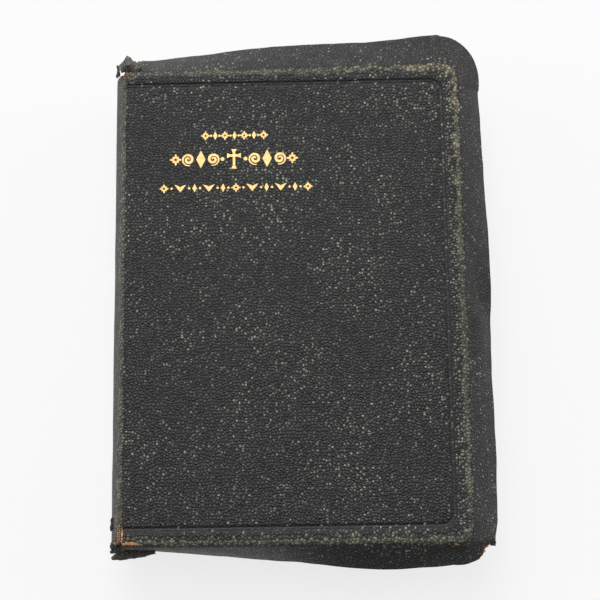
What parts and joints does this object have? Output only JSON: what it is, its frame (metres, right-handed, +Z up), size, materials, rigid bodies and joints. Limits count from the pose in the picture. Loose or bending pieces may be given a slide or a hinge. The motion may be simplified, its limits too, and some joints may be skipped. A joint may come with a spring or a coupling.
{
  "type": "bible",
  "caption": "Limp leather bible with turned-down flaps round the cover edges, a rounded spine, opening covers and a text block that opens.",
  "frame": {"origin": "on the table, under the middle of the closed book", "axes": "+X from the spine to the fore-edge, +Y from the tail to the head, +Z up through the front cover"},
  "size_m": [0.141, 0.1984, 0.0342],
  "materials": {
    "cover_leather": "worn pebble-grain black leather, semi-gloss",
    "spine_leather": "rubbed pebble-grain black leather",
    "binders_board": "plain grey-brown board",
    "endpaper": "black paper, matt",
    "bible_paper": "thin cream paper with red-stained edges",
    "plate_paper": "smooth heavier paper",
    "spine_lining": "open cotton cloth and paper",
    "endband": "striped cotton over a cord"
  },
  "bodies": {
    "rear_text": {"map_section": "plate_paper", "signature_01": "bible_paper", "signature_02": "bible_paper", "signature_03": "bible_paper", "signature_04": "bible_paper", "signature_05": "bible_paper", "rear_spine_lining": "spine_lining", "rear_spine_leather": "spine_leather", "rear_headband": "endband", "rear_tailband": "endband", "back_flyleaf": "endpaper"},
    "rear_middle_text": {"signature_06": "bible_paper", "signature_07": "bible_paper", "signature_08": "bible_paper", "signature_09": "bible_paper", "signature_10": "bible_paper", "rear_middle_spine_lining": "spine_lining", "rear_middle_spine_leather": "spine_leather", "rear_middle_headband": "endband", "rear_middle_tailband": "endband"},
    "front_middle_text": {"signature_11": "bible_paper", "signature_12": "bible_paper", "signature_13": "bible_paper", "signature_14": "bible_paper", "signature_15": "bible_paper", "front_middle_spine_lining": "spine_lining", "front_middle_spine_leather": "spine_leather", "front_middle_headband": "endband", "front_middle_tailband": "endband"},
    "front_text": {"signature_16": "bible_paper", "signature_17": "bible_paper", "signature_18": "bible_paper", "signature_19": "bible_paper", "signature_20": "bible_paper", "presentation_section": "plate_paper", "front_spine_lining": "spine_lining", "front_spine_leather": "spine_leather", "front_headband": "endband", "front_tailband": "endband"},
    "turning_leaf": {"turning_leaf": "bible_paper"},
    "front_flyleaf": {"front_flyleaf": "endpaper"},
    "front_cover": {"front_cover_leather": "cover_leather", "front_board": "binders_board", "front_pastedown": "endpaper"},
    "back_cover": {"back_cover_leather": "cover_leather", "back_board": "binders_board", "back_pastedown": "endpaper"}
  },
  "joints": [
    {"name": "front_cover_hinge", "type": "hinge", "parent": "front_text", "child": "front_cover", "pos_m": [-0.06692, -0.00134, 0.0324], "axis": [0, 1, 0], "range_deg": [-179, 0]},
    {"name": "back_cover_hinge", "type": "hinge", "parent": "rear_text", "child": "back_cover", "pos_m": [-0.06692, -0.00134, 0.0018], "axis": [0, -1, 0], "range_deg": [-179, 0]},
    {"name": "rear_opening", "type": "hinge", "parent": "rear_text", "child": "rear_middle_text", "pos_m": [-0.07005, -0.00134, 0.01045], "axis": [0, -1, 0], "range_deg": [0, 15]},
    {"name": "reading_opening", "type": "hinge", "parent": "rear_middle_text", "child": "front_middle_text", "pos_m": [-0.07077, -0.00134, 0.0173], "axis": [0, -1, 0], "range_deg": [0, 150]},
    {"name": "front_opening", "type": "hinge", "parent": "front_middle_text", "child": "front_text", "pos_m": [-0.06996, -0.00134, 0.02416], "axis": [0, -1, 0], "range_deg": [0, 15]},
    {"name": "turning_leaf_hinge", "type": "hinge", "parent": "rear_middle_text", "child": "turning_leaf", "pos_m": [-0.07077, -0.00134, 0.0173], "axis": [0, -1, 0], "range_deg": [0, 75]},
    {"name": "front_flyleaf_hinge", "type": "hinge", "parent": "front_text", "child": "front_flyleaf", "pos_m": [-0.06512, -0.00134, 0.0312], "axis": [0, 1, 0], "range_deg": [-54, 0]}
  ],
  "couplings": [
    {"joint": "turning_leaf_hinge", "follows": "reading_opening", "ratio": 0.5},
    {"joint": "front_flyleaf_hinge", "follows": "front_cover_hinge", "ratio": 0.3}
  ]
}
